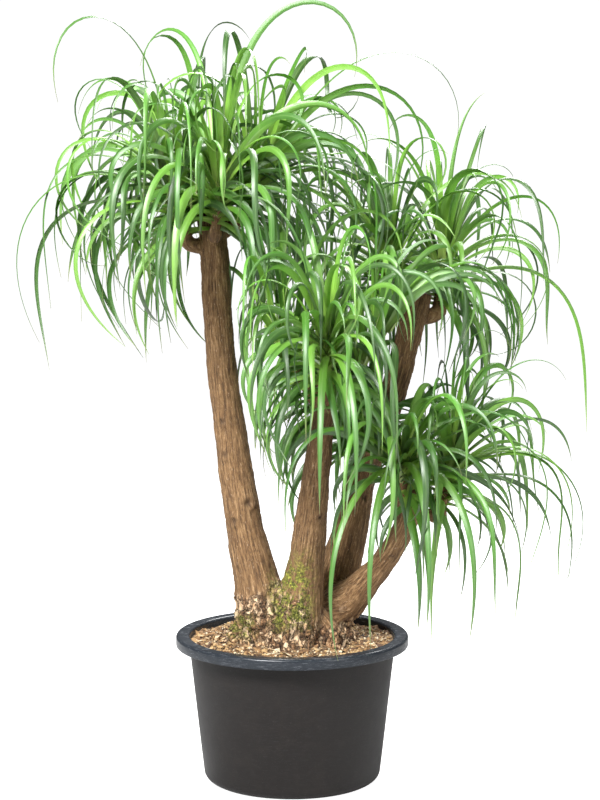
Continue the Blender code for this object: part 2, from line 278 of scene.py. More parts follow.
class Graph:
    """Short calls for building a material's node tree."""

    def __init__(self, name):
        self.material = bpy.data.materials.new(name)
        self.material.use_nodes = True
        self.tree = self.material.node_tree
        self.shader = self.tree.nodes["Principled BSDF"]
        self.output = self.tree.nodes["Material Output"]

    def node(self, kind, inputs=None, **settings):
        made = self.tree.nodes.new(kind)
        for key, value in settings.items():
            setattr(made, key, value)
        for key, value in (inputs or {}).items():
            self.put(value, made.inputs[key])
        return made

    def put(self, value, socket):
        if isinstance(value, bpy.types.NodeSocket):
            self.tree.links.new(value, socket)
        else:
            socket.default_value = value

    def attribute(self, name, output="Fac"):
        return self.node("ShaderNodeAttribute", attribute_name=name).outputs[output]

    def position(self):
        return self.node("ShaderNodeNewGeometry").outputs["Position"]

    def noise(self, vector, scale, detail=3.0, rough=0.55):
        inputs = {"Vector": vector, "Scale": scale, "Detail": detail, "Roughness": rough}
        return self.node("ShaderNodeTexNoise", inputs).outputs["Fac"]

    def stretched(self, vector, *scales):
        return self.node("ShaderNodeVectorMath", {0: vector, 1: scales}, operation="MULTIPLY").outputs[0]

    def wander(self, vector, scale, reach):
        """A sideways shift, different from place to place, that makes a pattern ragged."""
        inputs = {"Vector": vector, "Scale": scale, "Detail": 3.0}
        drift = self.node("ShaderNodeTexNoise", inputs).outputs["Color"]
        centred = self.node("ShaderNodeVectorMath", {0: drift, 1: (0.5, 0.5, 0.5)}, operation="SUBTRACT")
        return self.stretched(centred.outputs[0], reach, reach, reach)

    def cracks(self, vector, scale):
        inputs = {"Vector": vector, "Scale": scale}
        made = self.node("ShaderNodeTexVoronoi", inputs, feature="DISTANCE_TO_EDGE")
        return made.outputs["Distance"]

    def cells(self, vector, scale):
        inputs = {"Vector": vector, "Scale": scale}
        return self.node("ShaderNodeTexVoronoi", inputs).outputs["Color"]

    def math(self, operation, a, b=0.0):
        made = self.node("ShaderNodeMath", operation=operation)
        self.put(a, made.inputs[0])
        self.put(b, made.inputs[1])
        return made.outputs[0]

    def span(self, value, low, high, to_low=0.0, to_high=1.0):
        inputs = {
            "Value": value,
            "From Min": low,
            "From Max": high,
            "To Min": to_low,
            "To Max": to_high,
        }
        return self.node("ShaderNodeMapRange", inputs, clamp=True).outputs["Result"]

    def ramp(self, value, *stops):
        made = self.node("ShaderNodeValToRGB", {"Fac": value})
        elements = made.color_ramp.elements
        while len(elements) < len(stops):
            elements.new(0.5)
        for element, (place, colour) in zip(elements, stops):
            element.position = place
            element.color = (*colour, 1)
        return made.outputs["Color"]

    def mix(self, share, a, b):
        made = self.node("ShaderNodeMix", data_type="RGBA")
        for socket, value in zip((made.inputs[0], made.inputs[6], made.inputs[7]), (share, a, b)):
            plain = isinstance(value, tuple) and len(value) == 3
            self.put((*value, 1) if plain else value, socket)
        return made.outputs[2]

    def bump(self, height, strength, distance, under=None):
        inputs = {"Height": height, "Strength": strength, "Distance": distance}
        if under:
            inputs["Normal"] = under
        return self.node("ShaderNodeBump", inputs).outputs["Normal"]

    def finish(self, colour, roughness, normal=None):
        self.put(colour, self.shader.inputs["Base Color"])
        self.put(roughness, self.shader.inputs["Roughness"])
        if normal:
            self.put(normal, self.shader.inputs["Normal"])
        return self.material


# ---------------------------------------------------------------- materials


def pot_material():
    """Dark recycled plastic: a bluer, glossier rolled rim, fine specks, and faint dusty scuffs."""
    g = Graph("pot_plastic_look")
    place = g.position()
    height = g.node("ShaderNodeSeparateXYZ", {"Vector": place}).outputs["Z"]
    rim = g.span(height, POT_HEIGHT - 0.022, POT_HEIGHT - 0.017)
    blotch = g.noise(place, 9, 4)
    specks = g.span(g.noise(place, 900, 2, 0.7), 0.66, 0.74)
    body = g.mix(blotch, (0.0085, 0.0070, 0.0066), (0.0140, 0.0115, 0.0106))
    dust = g.span(g.noise(place, 38, 6, 0.7), 0.50, 0.78, 0, 0.30)
    body = g.mix(dust, body, (0.028, 0.022, 0.018))
    colour = g.mix(rim, body, (0.020, 0.024, 0.030))
    scratches = g.span(g.noise(g.stretched(place, 1, 1, 14), 60, 6, 0.80), 0.54, 0.68)
    colour = g.mix(g.math("MULTIPLY", scratches, g.span(rim, 0, 1, 0.03, 0.42)), colour, (0.30, 0.32, 0.35))
    colour = g.mix(g.math("MULTIPLY", specks, 0.30), colour, (0.20, 0.18, 0.16))
    rough = g.math("ADD", g.span(rim, 0, 1, 0.50, 0.24), g.span(blotch, 0.3, 0.7, -0.04, 0.08))
    fine = g.bump(g.noise(place, 700, 3), 0.10, 0.0006)
    waves = g.bump(g.noise(place, 26, 2), 0.22, 0.002, fine)
    g.shader.inputs["Specular IOR Level"].default_value = 0.26
    return g.finish(colour, rough, waves)


def bark_material():
    """Cork with fine lengthwise furrows, tan and flaking at the base, with moss on its shaded side."""
    g = Graph("bark_look")
    grain = g.attribute("grain", "Vector")
    place = g.position()
    deep = g.attribute("deep")
    base = g.attribute("base")
    moss = g.attribute("moss")
    cut = g.attribute("cut")
    fibre = g.noise(g.stretched(grain, 360, 360, 70), 1.0, 6, 0.72)
    fleck = g.noise(g.stretched(grain, 520, 520, 380), 1.0, 4, 0.7)
    broad = g.noise(grain, 34, 4, 0.6)
    stem = g.ramp(
        fibre,
        (0.35, (0.030, 0.014, 0.005)),
        (0.45, (0.120, 0.060, 0.022)),
        (0.55, (0.235, 0.130, 0.052)),
        (0.68, (0.500, 0.320, 0.160)),
    )
    stem = g.mix(g.span(broad, 0.35, 0.65, 0, 0.35), stem, (0.200, 0.112, 0.048))
    stem = g.mix(g.span(fleck, 0.44, 0.34, 0.0, 0.80), stem, (0.060, 0.032, 0.016))
    stem = g.mix(g.span(fleck, 0.60, 0.70, 0.0, 0.60), stem, (0.560, 0.410, 0.270))
    shift = g.wander(place, 90, 0.016)
    ragged = g.node("ShaderNodeVectorMath", {0: place, 1: shift}, operation="ADD")
    flaky = g.stretched(ragged.outputs[0], 118, 118, 46)
    flake_tone = g.node("ShaderNodeSeparateColor", {"Color": g.cells(flaky, 1.0)}).outputs[0]
    gaps = g.cracks(flaky, 1.0)
    rough_tone = g.math("MULTIPLY", g.noise(place, 190, 6, 0.75), 0.75)
    crown = g.ramp(
        g.math("ADD", g.math("MULTIPLY", flake_tone, 0.34), rough_tone),
        (0.35, (0.032, 0.015, 0.007)),
        (0.46, (0.290, 0.148, 0.066)),
        (0.57, (0.720, 0.455, 0.245)),
        (0.72, (0.980, 0.730, 0.480)),
    )
    crown = g.mix(g.span(gaps, 0.10, 0.0, 0.0, 0.85), crown, (0.040, 0.019, 0.009))
    crown = g.mix(0.12, crown, stem)
    colour = g.mix(base, stem, crown)
    colour = g.mix(g.span(deep, 0.0, 1.0, 0.0, 0.70), colour, (0.040, 0.022, 0.012))
    mossy = g.math("MULTIPLY", moss, g.span(g.noise(place, 78, 7, 0.75), 0.44, 0.52))
    moss_tone = g.ramp(
        g.noise(place, 260, 4, 0.7),
        (0.40, (0.030, 0.040, 0.005)),
        (0.52, (0.150, 0.175, 0.014)),
        (0.66, (0.460, 0.460, 0.070)),
    )
    colour = g.mix(g.math("MULTIPLY", mossy, 0.92), colour, moss_tone)
    rings = g.ramp(g.noise(place, 300, 4, 0.7), (0.3, (0.16, 0.10, 0.07)), (0.7, (0.46, 0.34, 0.25)))
    colour = g.mix(cut, colour, rings)
    furrows = g.bump(fibre, 0.90, 0.0030)
    flecks = g.bump(fleck, 0.60, 0.0012, furrows)
    steps = g.math("MULTIPLY", base, g.math("ADD", g.span(gaps, 0.0, 0.16), flake_tone))
    flakes = g.bump(steps, 1.0, 0.0034, flecks)
    return g.finish(colour, g.span(fibre, 0.3, 0.7, 0.92, 0.78), flakes)


def soil_material():
    """Crumbled peat and fibre between the chips."""
    g = Graph("soil_look")
    place = g.position()
    crumbs = g.noise(place, 330, 6, 0.7)
    colour = g.ramp(
        crumbs,
        (0.32, (0.030, 0.019, 0.012)),
        (0.46, (0.130, 0.082, 0.046)),
        (0.58, (0.380, 0.245, 0.120)),
        (0.72, (0.640, 0.470, 0.260)),
    )
    colour = g.mix(g.span(g.noise(place, 45, 3), 0.4, 0.65, 0, 0.5), colour, (0.100, 0.060, 0.036))
    grains = g.bump(crumbs, 0.9, 0.003)
    return g.finish(colour, 0.95, g.bump(g.noise(place, 900, 3), 0.5, 0.001, grains))


def chip_material():
    """Bark chips and grit: each has its own tone from black-brown to straw, with a fibrous face."""
    g = Graph("chip_look")
    place = g.position()
    tone = g.attribute("tone")
    colour = g.ramp(
        tone,
        (0.00, (0.030, 0.018, 0.012)),
        (0.25, (0.130, 0.066, 0.034)),
        (0.50, (0.360, 0.200, 0.082)),
        (0.75, (0.640, 0.430, 0.200)),
        (1.00, (0.920, 0.790, 0.560)),
    )
    fibre = g.noise(place, 420, 5, 0.7)
    colour = g.mix(g.span(fibre, 0.35, 0.65, 0.55, 0), colour, (0.060, 0.035, 0.020))
    return g.finish(colour, 0.88, g.bump(fibre, 0.6, 0.0012))


def leaf_material():
    """Waxy strap leaf: pale foot, mid green blade with fine veins, and a dry brown thread of a tip."""
    g = Graph("leaf_look")
    along = g.attribute("along")
    across = g.attribute("across")
    tone = g.attribute("tone")
    young = g.attribute("young")
    place = g.position()
    blade = g.ramp(
        along,
        (0.00, (0.480, 0.600, 0.140)),
        (0.10, (0.260, 0.470, 0.050)),
        (0.28, (0.095, 0.300, 0.018)),
        (0.60, (0.036, 0.165, 0.012)),
        (0.86, (0.024, 0.095, 0.012)),
        (0.94, (0.190, 0.210, 0.050)),
        (0.985, (0.230, 0.150, 0.080)),
        (1.00, (0.180, 0.130, 0.100)),
    )
    fresh = g.ramp(
        along,
        (0.00, (0.640, 0.780, 0.220)),
        (0.22, (0.340, 0.650, 0.060)),
        (0.55, (0.120, 0.400, 0.030)),
        (0.92, (0.130, 0.330, 0.046)),
        (1.00, (0.260, 0.230, 0.090)),
    )
    colour = g.mix(young, blade, fresh)
    colour = g.mix(g.span(tone, 0.0, 0.55, 0.95, 0.0), colour, (0.004, 0.034, 0.005))
    colour = g.mix(g.span(tone, 0.60, 1.0, 0.0, 0.55), colour, (0.300, 0.580, 0.080))
    veins = g.math("SINE", g.math("MULTIPLY", across, 34.0))
    colour = g.mix(g.span(veins, -1, 1, 0.0, 0.12), colour, (0.42, 0.62, 0.24))
    middle = g.span(g.math("ABSOLUTE", across), 0.0, 0.16, 0.30, 0.0)
    colour = g.mix(middle, colour, (0.36, 0.58, 0.18))
    patches = g.span(g.noise(place, 26, 3), 0.35, 0.70, 0.0, 0.22)
    colour = g.mix(patches, colour, (0.120, 0.300, 0.050))
    waxy = g.span(g.noise(place, 60, 3), 0.3, 0.7, 0.34, 0.48)
    rough = g.math("ADD", waxy, g.span(along, 0.85, 1.0, 0.0, 0.3))
    normal = g.bump(veins, 0.22, 0.0003)
    material = g.finish(colour, rough, normal)
    g.shader.inputs["Specular IOR Level"].default_value = 1.0
    g.shader.inputs["Coat Weight"].default_value = 0.45
    g.shader.inputs["Coat Roughness"].default_value = 0.40
    glow = g.mix(0.62, colour, (0.42, 0.74, 0.06))
    through = g.node("ShaderNodeBsdfTranslucent", {"Color": glow})
    both = g.node("ShaderNodeMixShader", {"Fac": 0.26})
    g.tree.links.new(g.shader.outputs[0], both.inputs[1])
    g.tree.links.new(through.outputs[0], both.inputs[2])
    g.tree.links.new(both.outputs[0], g.output.inputs["Surface"])
    return material


def floor_material():
    g = Graph("floor_look")
    tint = g.mix(g.noise(g.position(), 3.0, 2), (0.56, 0.56, 0.56), (0.60, 0.60, 0.60))
    g.shader.inputs["Emission Color"].default_value = (1, 1, 1, 1)
    seen = g.node("ShaderNodeLightPath").outputs["Is Camera Ray"]
    g.put(g.math("MULTIPLY", seen, 0.95), g.shader.inputs["Emission Strength"])
    return g.finish(tint, 0.9)


# ---------------------------------------------------------------- pot


def arc(centre, radius, start_deg, end_deg, steps):
    """Points (r, z) on an arc of a turned profile."""
    angles = np.radians(np.linspace(start_deg, end_deg, steps + 1))
    return [(centre[0] + radius * math.cos(a), centre[1] + radius * math.sin(a)) for a in angles]


def wall_radius(z):
    """Radius of the pot's inner face at height z."""
    share = (z - BASE_ROUNDING) / (POT_HEIGHT - BASE_ROUNDING)
    return BASE_RADIUS + (RIM_RADIUS - RIM_WIDTH - BASE_RADIUS) * share


def circle(radius, count):
    """Points (x, y) evenly round a circle, from +X."""
    angles = [2 * math.pi * k / count for k in range(count)]
    return [(radius * math.cos(a), radius * math.sin(a)) for a in angles]


def lathe(name, profile, steps):
    """A closed profile of (r, z) turned about Z. Points on the axis become one vertex."""
    points, rings = [], []
    for r, z in profile:
        count = 1 if r < 1e-6 else steps
        rings.append(range(len(points), len(points) + count))
        points.extend((x, y, z) for x, y in circle(r, count))
    faces = []
    for a, b in zip(rings, rings[1:] + rings[:1]):
        for k in range(steps):
            n = (k + 1) % steps
            corners = [a[k % len(a)], a[n % len(a)], b[n % len(b)], b[k % len(b)]]
            face = list(dict.fromkeys(corners))
            if len(face) > 2:
                faces.append(face)
    return mesh_from(name, points, faces)


def make_pot():
    """The tub with its rolled rim, a soft bead under the skirt, a rounded foot, and drain holes."""
    top = POT_HEIGHT - RIM_ROUNDING
    inner = RIM_ROUNDING - WALL
    skirt = POT_HEIGHT - RIM_SKIRT
    under = POT_HEIGHT - WALL
    profile = [(RIM_RADIUS - 0.0006, skirt), (RIM_RADIUS, skirt + 0.0012), (RIM_RADIUS, skirt + 0.008)]
    profile += arc((RIM_RADIUS - RIM_ROUNDING, top), RIM_ROUNDING, 0, 90, 8)
    profile += arc((wall_radius(top) + RIM_ROUNDING, top), RIM_ROUNDING, 90, 180, 8)
    profile += [(wall_radius(z), z) for z in (0.20, 0.15, 0.10, 0.05)]
    foot = (BASE_RADIUS - BASE_ROUNDING, BASE_ROUNDING + WALL)
    profile += arc(foot, BASE_ROUNDING, 0, -90, 6)
    profile += [(0.09, WALL), (0.0, WALL), (0.0, 0.0), (0.09, 0.0)]
    profile += arc(foot, BASE_ROUNDING + WALL, -90, 0, 8)
    profile += [(wall_radius(z) + WALL, z) for z in (0.05, 0.10, 0.15, 0.20, 0.236)]
    profile += arc((wall_radius(top) + RIM_ROUNDING, top), inner, 180, 90, 5)
    profile += [(RIM_RADIUS - 0.012, under)]
    profile += arc((RIM_RADIUS - RIM_ROUNDING, top), inner, 90, 0, 5)
    profile += [(RIM_RADIUS - WALL, skirt + 0.001), (RIM_RADIUS - WALL + 0.0006, skirt)]
    mesh = lathe("pot_shell", profile, 192)
    pot = new_piece("pot_shell", mesh, pot_material())
    shape = bmesh.new()
    shape.from_mesh(mesh)
    bmesh.ops.recalc_face_normals(shape, faces=shape.faces)
    shape.to_mesh(mesh)
    shape.free()
    drill = bmesh.new()
    for x, y in circle(DRAIN_CIRCLE, DRAIN_HOLES):
        place = Matrix.Translation((x, y, WALL / 2))
        bmesh.ops.create_cone(
            drill,
            cap_ends=True,
            segments=20,
            radius1=DRAIN_RADIUS,
            radius2=DRAIN_RADIUS,
            depth=DRAIN_DEPTH,
            matrix=place,
        )
    cutter_mesh = bpy.data.meshes.new("drain_drill")
    drill.to_mesh(cutter_mesh)
    drill.free()
    cutter = bpy.data.objects.new("drain_drill", cutter_mesh)
    bpy.context.scene.collection.objects.link(cutter)
    cut_out(pot, cutter)
    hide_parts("pot")


def evaluated_mesh(obj):
    bpy.context.view_layer.update()
    graph = bpy.context.evaluated_depsgraph_get()
    return bpy.data.meshes.new_from_object(obj.evaluated_get(graph))


def cut_out(obj, cutter):
    """Cuts for good, and removes the cutter."""
    modifier = obj.modifiers.new("Boolean", "BOOLEAN")
    modifier.operation = "DIFFERENCE"
    modifier.solver = "EXACT"
    modifier.object = cutter
    mesh = evaluated_mesh(obj)
    obj.modifiers.clear()
    obj.data = mesh
    mesh.shade_smooth()
    mesh.set_sharp_from_angle(angle=math.radians(40))
    bpy.data.objects.remove(cutter, do_unlink=True)


# ---------------------------------------------------------------- wood


def smooth_route(route, spacing):
    """Points (x, y, z, radius) about every spacing along a Catmull-Rom curve through a route."""
    given = [np.array(p, float) for p in route]
    given = [2 * given[0] - given[1], *given, 2 * given[-1] - given[-2]]
    found = []
    for a, b, c, d in zip(given, given[1:], given[2:], given[3:]):
        count = max(1, round(np.linalg.norm((c - b)[:3]) / spacing))
        for t in np.arange(count) / count:
            linear = (c - a) * t
            square = (2 * a - 5 * b + 4 * c - d) * t**2
            cubic = (3 * b - a - 3 * c + d) * t**3
            found.append(0.5 * (2 * b + linear + square + cubic))
    found.append(given[-2])
    return np.array(found)


def ring_frame(tangent):
    """Two directions across a limb: the first points to +X as nearly as it can."""
    first = np.array((1.0, 0, 0)) - tangent * tangent[0]
    first /= np.linalg.norm(first)
    return first, np.cross(tangent, first)


def limb_shape(shape, centres, sides=26):
    """Adds a closed round limb along centres (x, y, z, radius) to a bmesh."""
    rings = []
    for k, centre in enumerate(centres):
        ahead = centres[min(k + 1, len(centres) - 1)]
        behind = centres[max(k - 1, 0)]
        tangent = (ahead - behind)[:3]
        tangent /= np.linalg.norm(tangent)
        first, second = ring_frame(tangent)
        ring = []
        for side in range(sides):
            a = 2 * math.pi * side / sides
            out = first * math.cos(a) + second * math.sin(a)
            ring.append(shape.verts.new(centre[:3] + centre[3] * out))
        rings.append(ring)
    for a, b in zip(rings, rings[1:]):
        for side in range(sides):
            n = (side + 1) % sides
            shape.faces.new((a[side], a[n], b[n], b[side]))
    shape.faces.new(reversed(rings[0]))
    shape.faces.new(rings[-1])


def root_routes():
    """The root flares: each runs from the base down into the soil, nine unevenly round it."""
    for number in range(ROOTS):
        angle = 2 * math.pi * (number + 0.35 * math.sin(2.4 * number)) / ROOTS
        swell = 1 + 0.12 * math.sin(1.7 * number)
        route = []
        for distance, height, radius in (ROOT_TOP, ROOT_BEND, ROOT_FOOT):
            x = CAUDEX_CENTRE[0] + distance * math.cos(angle)
            y = CAUDEX_CENTRE[1] + 0.86 * distance * math.sin(angle)
            route.append((x, y, height, radius * swell))
        yield route


def stub_route(stem, foot, direction):
    """The woody stub from inside a stem to where its shoot's leaves begin."""
    centres = smooth_route(STEMS[stem], 0.01)[:-3]
    nearest = min(centres, key=lambda c: np.linalg.norm(c[:3] - np.array(foot)))
    lower = Vector(nearest[:3]) - Vector((0, 0, 0.012))
    middle = lower.lerp(Vector(foot), 0.5) - Vector((0, 0, 0.010))
    neck = Vector(foot) - Vector(direction).normalized() * 0.010
    top = Vector(foot) + Vector(direction).normalized() * 0.060
    radius = min(STUB_RADIUS, nearest[3] * 0.8)
    return [
        (*lower, radius),
        (*middle, STUB_RADIUS * 1.15),
        (*neck, STUB_RADIUS * 1.05),
        (*foot, STUB_RADIUS),
        (*top, STUB_RADIUS * 0.45),
    ]


def hashed(cells, salt):
    """A repeatable number from 0 to 1 for each whole-numbered cell."""
    mixed = (cells * np.array((73856093, 19349663, 83492791), np.int64)).sum(-1) + salt * 2654435761
    mixed = (mixed ^ (mixed >> 13)) * 1274126177 & 0xFFFFFFFF
    mixed = (mixed ^ (mixed >> 16)) * 2246822519 & 0xFFFFFFFF
    return ((mixed ^ (mixed >> 15)) & 0xFFFFFF) / 0xFFFFFF


def value_noise(points, scale, salt):
    """Smooth noise from -1 to 1 at each point."""
    scaled = np.asarray(points) * scale
    cell = np.floor(scaled).astype(np.int64)
    t = scaled - cell
    t = t * t * (3 - 2 * t)
    total = np.zeros(len(scaled))
    for corner in range(8):
        step = np.array((corner & 1, corner >> 1 & 1, corner >> 2))
        weight = np.prod(np.where(step, t, 1 - t), axis=1)
        total += weight * hashed(cell + step, salt)
    return total * 2 - 1


def fractal(points, scale, octaves, salt):
    return sum(value_noise(points, scale * 2**k, salt + k) * 0.5**k for k in range(octaves))


def chunks(points, scale, salt):
    """For each point of a skin of uneven chunks: depth of the crack beside it, height of its chunk."""
    scaled = np.asarray(points) * scale
    cell = np.floor(scaled).astype(np.int64)
    near = np.full((len(scaled), 2), 9.0)
    height = np.zeros(len(scaled))
    for k in range(27):
        step = np.array((k % 3, k // 3 % 3, k // 9)) - 1
        home = cell + step
        seed = home + np.stack([hashed(home, salt + axis) for axis in (1, 2, 3)], -1)
        away = np.linalg.norm(scaled - seed, axis=1)
        first = away < near[:, 0]
        height = np.where(first, hashed(home, salt + 4), height)
        near[:, 1] = np.where(first, near[:, 0], np.minimum(near[:, 1], away))
        near[:, 0] = np.where(first, away, near[:, 0])
    return np.clip(1 - (near[:, 1] - near[:, 0]) * 5.5, 0, 1), height


def smoothstep(low, high, value):
    t = np.clip((value - low) / (high - low), 0, 1)
    return t * t * (3 - 2 * t)


def wood_blank():
    """The base, stems, roots and stubs, melted into one skin of small even faces."""
    shape = bmesh.new()
    bmesh.ops.create_uvsphere(shape, u_segments=48, v_segments=32, radius=1.0)
    shape.transform(Matrix.Translation(CAUDEX_CENTRE) @ Matrix.Diagonal((*CAUDEX_RADII, 1)))
    for route in STEMS.values():
        limb_shape(shape, smooth_route(route, 0.006))
    for route in root_routes():
        limb_shape(shape, smooth_route(route, 0.006))
    for stem, foot, direction, _ in SHOOTS.values():
        limb_shape(shape, smooth_route(stub_route(stem, foot, direction), 0.005), 16)
    mesh = bpy.data.meshes.new("wood_blank")
    shape.to_mesh(mesh)
    shape.free()
    blank = bpy.data.objects.new("wood_blank", mesh)
    bpy.context.scene.collection.objects.link(blank)
    remesh = blank.modifiers.new("Melt", "REMESH")
    remesh.mode = "VOXEL"
    remesh.voxel_size = BARK_VOXEL
    soften = blank.modifiers.new("Soften", "SMOOTH")
    soften.factor = 0.5
    soften.iterations = 6
    skin = evaluated_mesh(blank)
    bpy.data.objects.remove(blank, do_unlink=True)
    return skin


def knot_places():
    """Each knot's centre on the bark, and its radius."""
    places = []
    for stem, height, angle, radius in KNOTS:
        centres = smooth_route(STEMS[stem], 0.004)
        centre = min(centres, key=lambda c: abs(c[2] - height))
        a = math.radians(angle)
        out = Vector((math.cos(a), math.sin(a), 0))
        places.append((Vector(centre[:3]) + out * centre[3], radius))
    return places


def knot_relief(points):
    """(lift, darkness) of the healed knots: a raised lip round a dark eye."""
    lift, dark = np.zeros(len(points)), np.zeros(len(points))
    for centre, radius in knot_places():
        away = np.linalg.norm(points - np.array(centre), axis=1) / radius
        lift += 0.0026 * np.exp(-(((away - 0.85) / 0.45) ** 2)) - 0.0022 * np.exp(-((away / 0.4) ** 2))
        dark = np.maximum(dark, np.exp(-((away / 0.62) ** 2)))
    return lift, dark


def stem_places(points):
    """For each point: nearest centreline point, tangent, distance along that stem, its length, its number."""
    lines = [smooth_route(route, 0.004) for route in STEMS.values()]
    tree = KDTree(sum(len(line) for line in lines))
    rows = []
    for number, line in enumerate(lines):
        along = np.concatenate(([0], np.cumsum(np.linalg.norm(np.diff(line[:, :3], axis=0), axis=1))))
        tangents = np.gradient(line[:, :3], axis=0)
        tangents /= np.linalg.norm(tangents, axis=1)[:, None]
        for k, centre in enumerate(line):
            tree.insert(centre[:3], len(rows))
            rows.append((*centre[:3], *tangents[k], along[k], along[-1], number))
    tree.balance()
    found = np.array([rows[tree.find(p)[1]] for p in points])
    return found[:, :3], found[:, 3:6], found[:, 6], found[:, 7], found[:, 8]


def make_wood():
    """Carves furrows, lumps, knots, flaking plates and rough saw cuts into the blank."""
    mesh = wood_blank()
    count = len(mesh.vertices)
    points, normals = np.zeros(count * 3), np.zeros(count * 3)
    mesh.vertices.foreach_get("co", points)
    mesh.vertices.foreach_get("normal", normals)
    points, normals = points.reshape(-1, 3), normals.reshape(-1, 3)
    centres, tangents, along, lengths, stems = stem_places(points)
    offset = points - centres
    level = along + (offset * tangents).sum(1)
    across = offset - tangents * (offset * tangents).sum(1)[:, None]
    size = np.linalg.norm(across, axis=1)[:, None]
    around = across / np.maximum(size, 1e-6) * np.minimum(size, 0.03)
    grain = np.stack((around[:, 0], around[:, 1], level * GRAIN_STRETCH + stems), -1)
    edge_of_crown = FLAKING_TOP + 0.036 * fractal(points, 26, 3, 7)
    edge_of_crown -= 0.055 * smoothstep(-0.01, 0.07, points[:, 0])
    crown = smoothstep(0.020, -0.020, points[:, 2] - edge_of_crown)
    lumps = 0.0016 * fractal(points, 30, 2, 11)
    valley = np.minimum(1, np.abs(value_noise(grain, 250, 3)) * 2.4)
    furrows = 0.0010 * (valley - 0.5)
    scars = 0.0004 * value_noise(points, 150, 5)
    flaky = points * (1, 1, 0.50)
    warp = np.stack([fractal(points, 60, 2, 20 + k) for k in range(3)], -1)
    crack, plate = chunks(flaky + 0.004 * warp, 105, 30)
    fine_crack, fine_plate = chunks(flaky, 190, 40)
    flakes = 0.0052 * (plate - 0.5) - 0.0034 * crack + 0.0030 * (fine_plate - 0.5) - 0.0015 * fine_crack
    flakes += 0.0040 * fractal(points, 34, 2, 50)
    lift, eye = knot_relief(points)
    facing_up = (normals * tangents).sum(1)
    saw = smoothstep(0.80, 0.95, facing_up) * smoothstep(-0.012, -0.004, along - lengths)
    height = lumps + (furrows + scars) * (1 - crown) + flakes * crown + lift
    height = height * (1 - saw) + 0.0012 * saw * value_noise(points, 260, 60)
    moved = points + normals * height[:, None]
    mesh.vertices.foreach_set("co", moved.astype(np.float32).ravel())
    mesh.update()
    mesh.materials.clear()
    mesh.shade_smooth()
    furrow_floors = (0.22 - valley) * 1.5 * (1 - crown)
    deep = np.maximum.reduce((crack * crown, 0.6 * fine_crack * crown, eye, furrow_floors))
    x, y, z = points.T
    shaded = smoothstep(0.050, 0.015, x) * smoothstep(-0.050, -0.020, x) * smoothstep(-0.02, -0.06, y)
    flank = smoothstep(-0.050, -0.080, x) * smoothstep(0.31, 0.28, z) * smoothstep(0.245, 0.262, z) * 0.8
    moss = shaded * smoothstep(0.435, 0.35, z) * smoothstep(0.265, 0.295, z) + flank
    store(mesh, "grain", grain, "FLOAT_VECTOR")
    for key, values in (("deep", deep), ("base", crown), ("moss", moss), ("cut", saw)):
        store(mesh, key, np.clip(values, 0, 1))
    wood = new_piece("trunk_bark", mesh, bark_material())
    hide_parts("trunk")


# ---------------------------------------------------------------- soil


def soil_heights(places):
    """Height of the soil's rough surface at each (x, y)."""
    places = np.asarray(places, float)
    mound = SOIL_MOUND * smoothstep(0.165, 0.07, np.hypot(places[:, 0], places[:, 1]))
    flat = np.column_stack((places, np.zeros(len(places))))
    return SOIL_LEVEL + mound + 0.0040 * fractal(flat, 38, 4, 70)


def make_soil():
    """A rough bed of crumbs that fills the pot, and a litter of bark chips and grit on it."""
    edge = wall_radius(SOIL_LEVEL) - 0.0006
    places = [(0.0, 0.0)]
    for ring in range(1, SOIL_RINGS + 1):
        places.extend(circle(edge * ring / SOIL_RINGS, SOIL_SPOKES))
    points = [(x, y, z) for (x, y), z in zip(places, soil_heights(places))]
    above_foot = (BASE_RADIUS - SOIL_GAP, BASE_ROUNDING + WALL)
    on_floor = (BASE_RADIUS - BASE_ROUNDING, WALL + SOIL_GAP)
    for r, z in (above_foot, on_floor):
        points.extend((x, y, z) for x, y in circle(r, SOIL_SPOKES))
    faces = [(0, 1 + k, 1 + (k + 1) % SOIL_SPOKES) for k in range(SOIL_SPOKES)]
    for ring in range(SOIL_RINGS + 1):
        low, high = 1 + ring * SOIL_SPOKES, 1 + (ring + 1) * SOIL_SPOKES
        for k in range(SOIL_SPOKES):
            n = (k + 1) % SOIL_SPOKES
            faces.append((low + k, high + k, high + n, low + n))
    last = 1 + (SOIL_RINGS + 1) * SOIL_SPOKES
    faces.append([last + k for k in reversed(range(SOIL_SPOKES))])
    bed = new_piece("soil_bed", mesh_from("soil_bed", points, faces), soil_material())
    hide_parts("soil")


def add_chip(shape, layer, rng, place, size, tone):
    """One faceted crumb: the hull of random points in a tilted flat box."""
    turn = Matrix.Rotation(rng.uniform(0, 2 * math.pi), 4, "Z")
    tilt = Matrix.Rotation(rng.gauss(0, 0.35), 4, "X") @ Matrix.Rotation(rng.gauss(0, 0.35), 4, "Y")
    matrix = Matrix.Translation(place) @ turn @ tilt
    verts = []
    for _ in range(11):
        point = Vector([rng.uniform(-1, 1) for _ in range(3)])
        point /= max(abs(c) for c in point) ** 0.6
        vert = shape.verts.new(matrix @ Vector([c * s / 2 for c, s in zip(point, size)]))
        vert[layer] = tone
        verts.append(vert)
    result = bmesh.ops.convex_hull(shape, input=verts)
    unused = [v for v in result["geom_interior"] if isinstance(v, bmesh.types.BMVert)]
    for vert in unused:
        shape.verts.remove(vert)


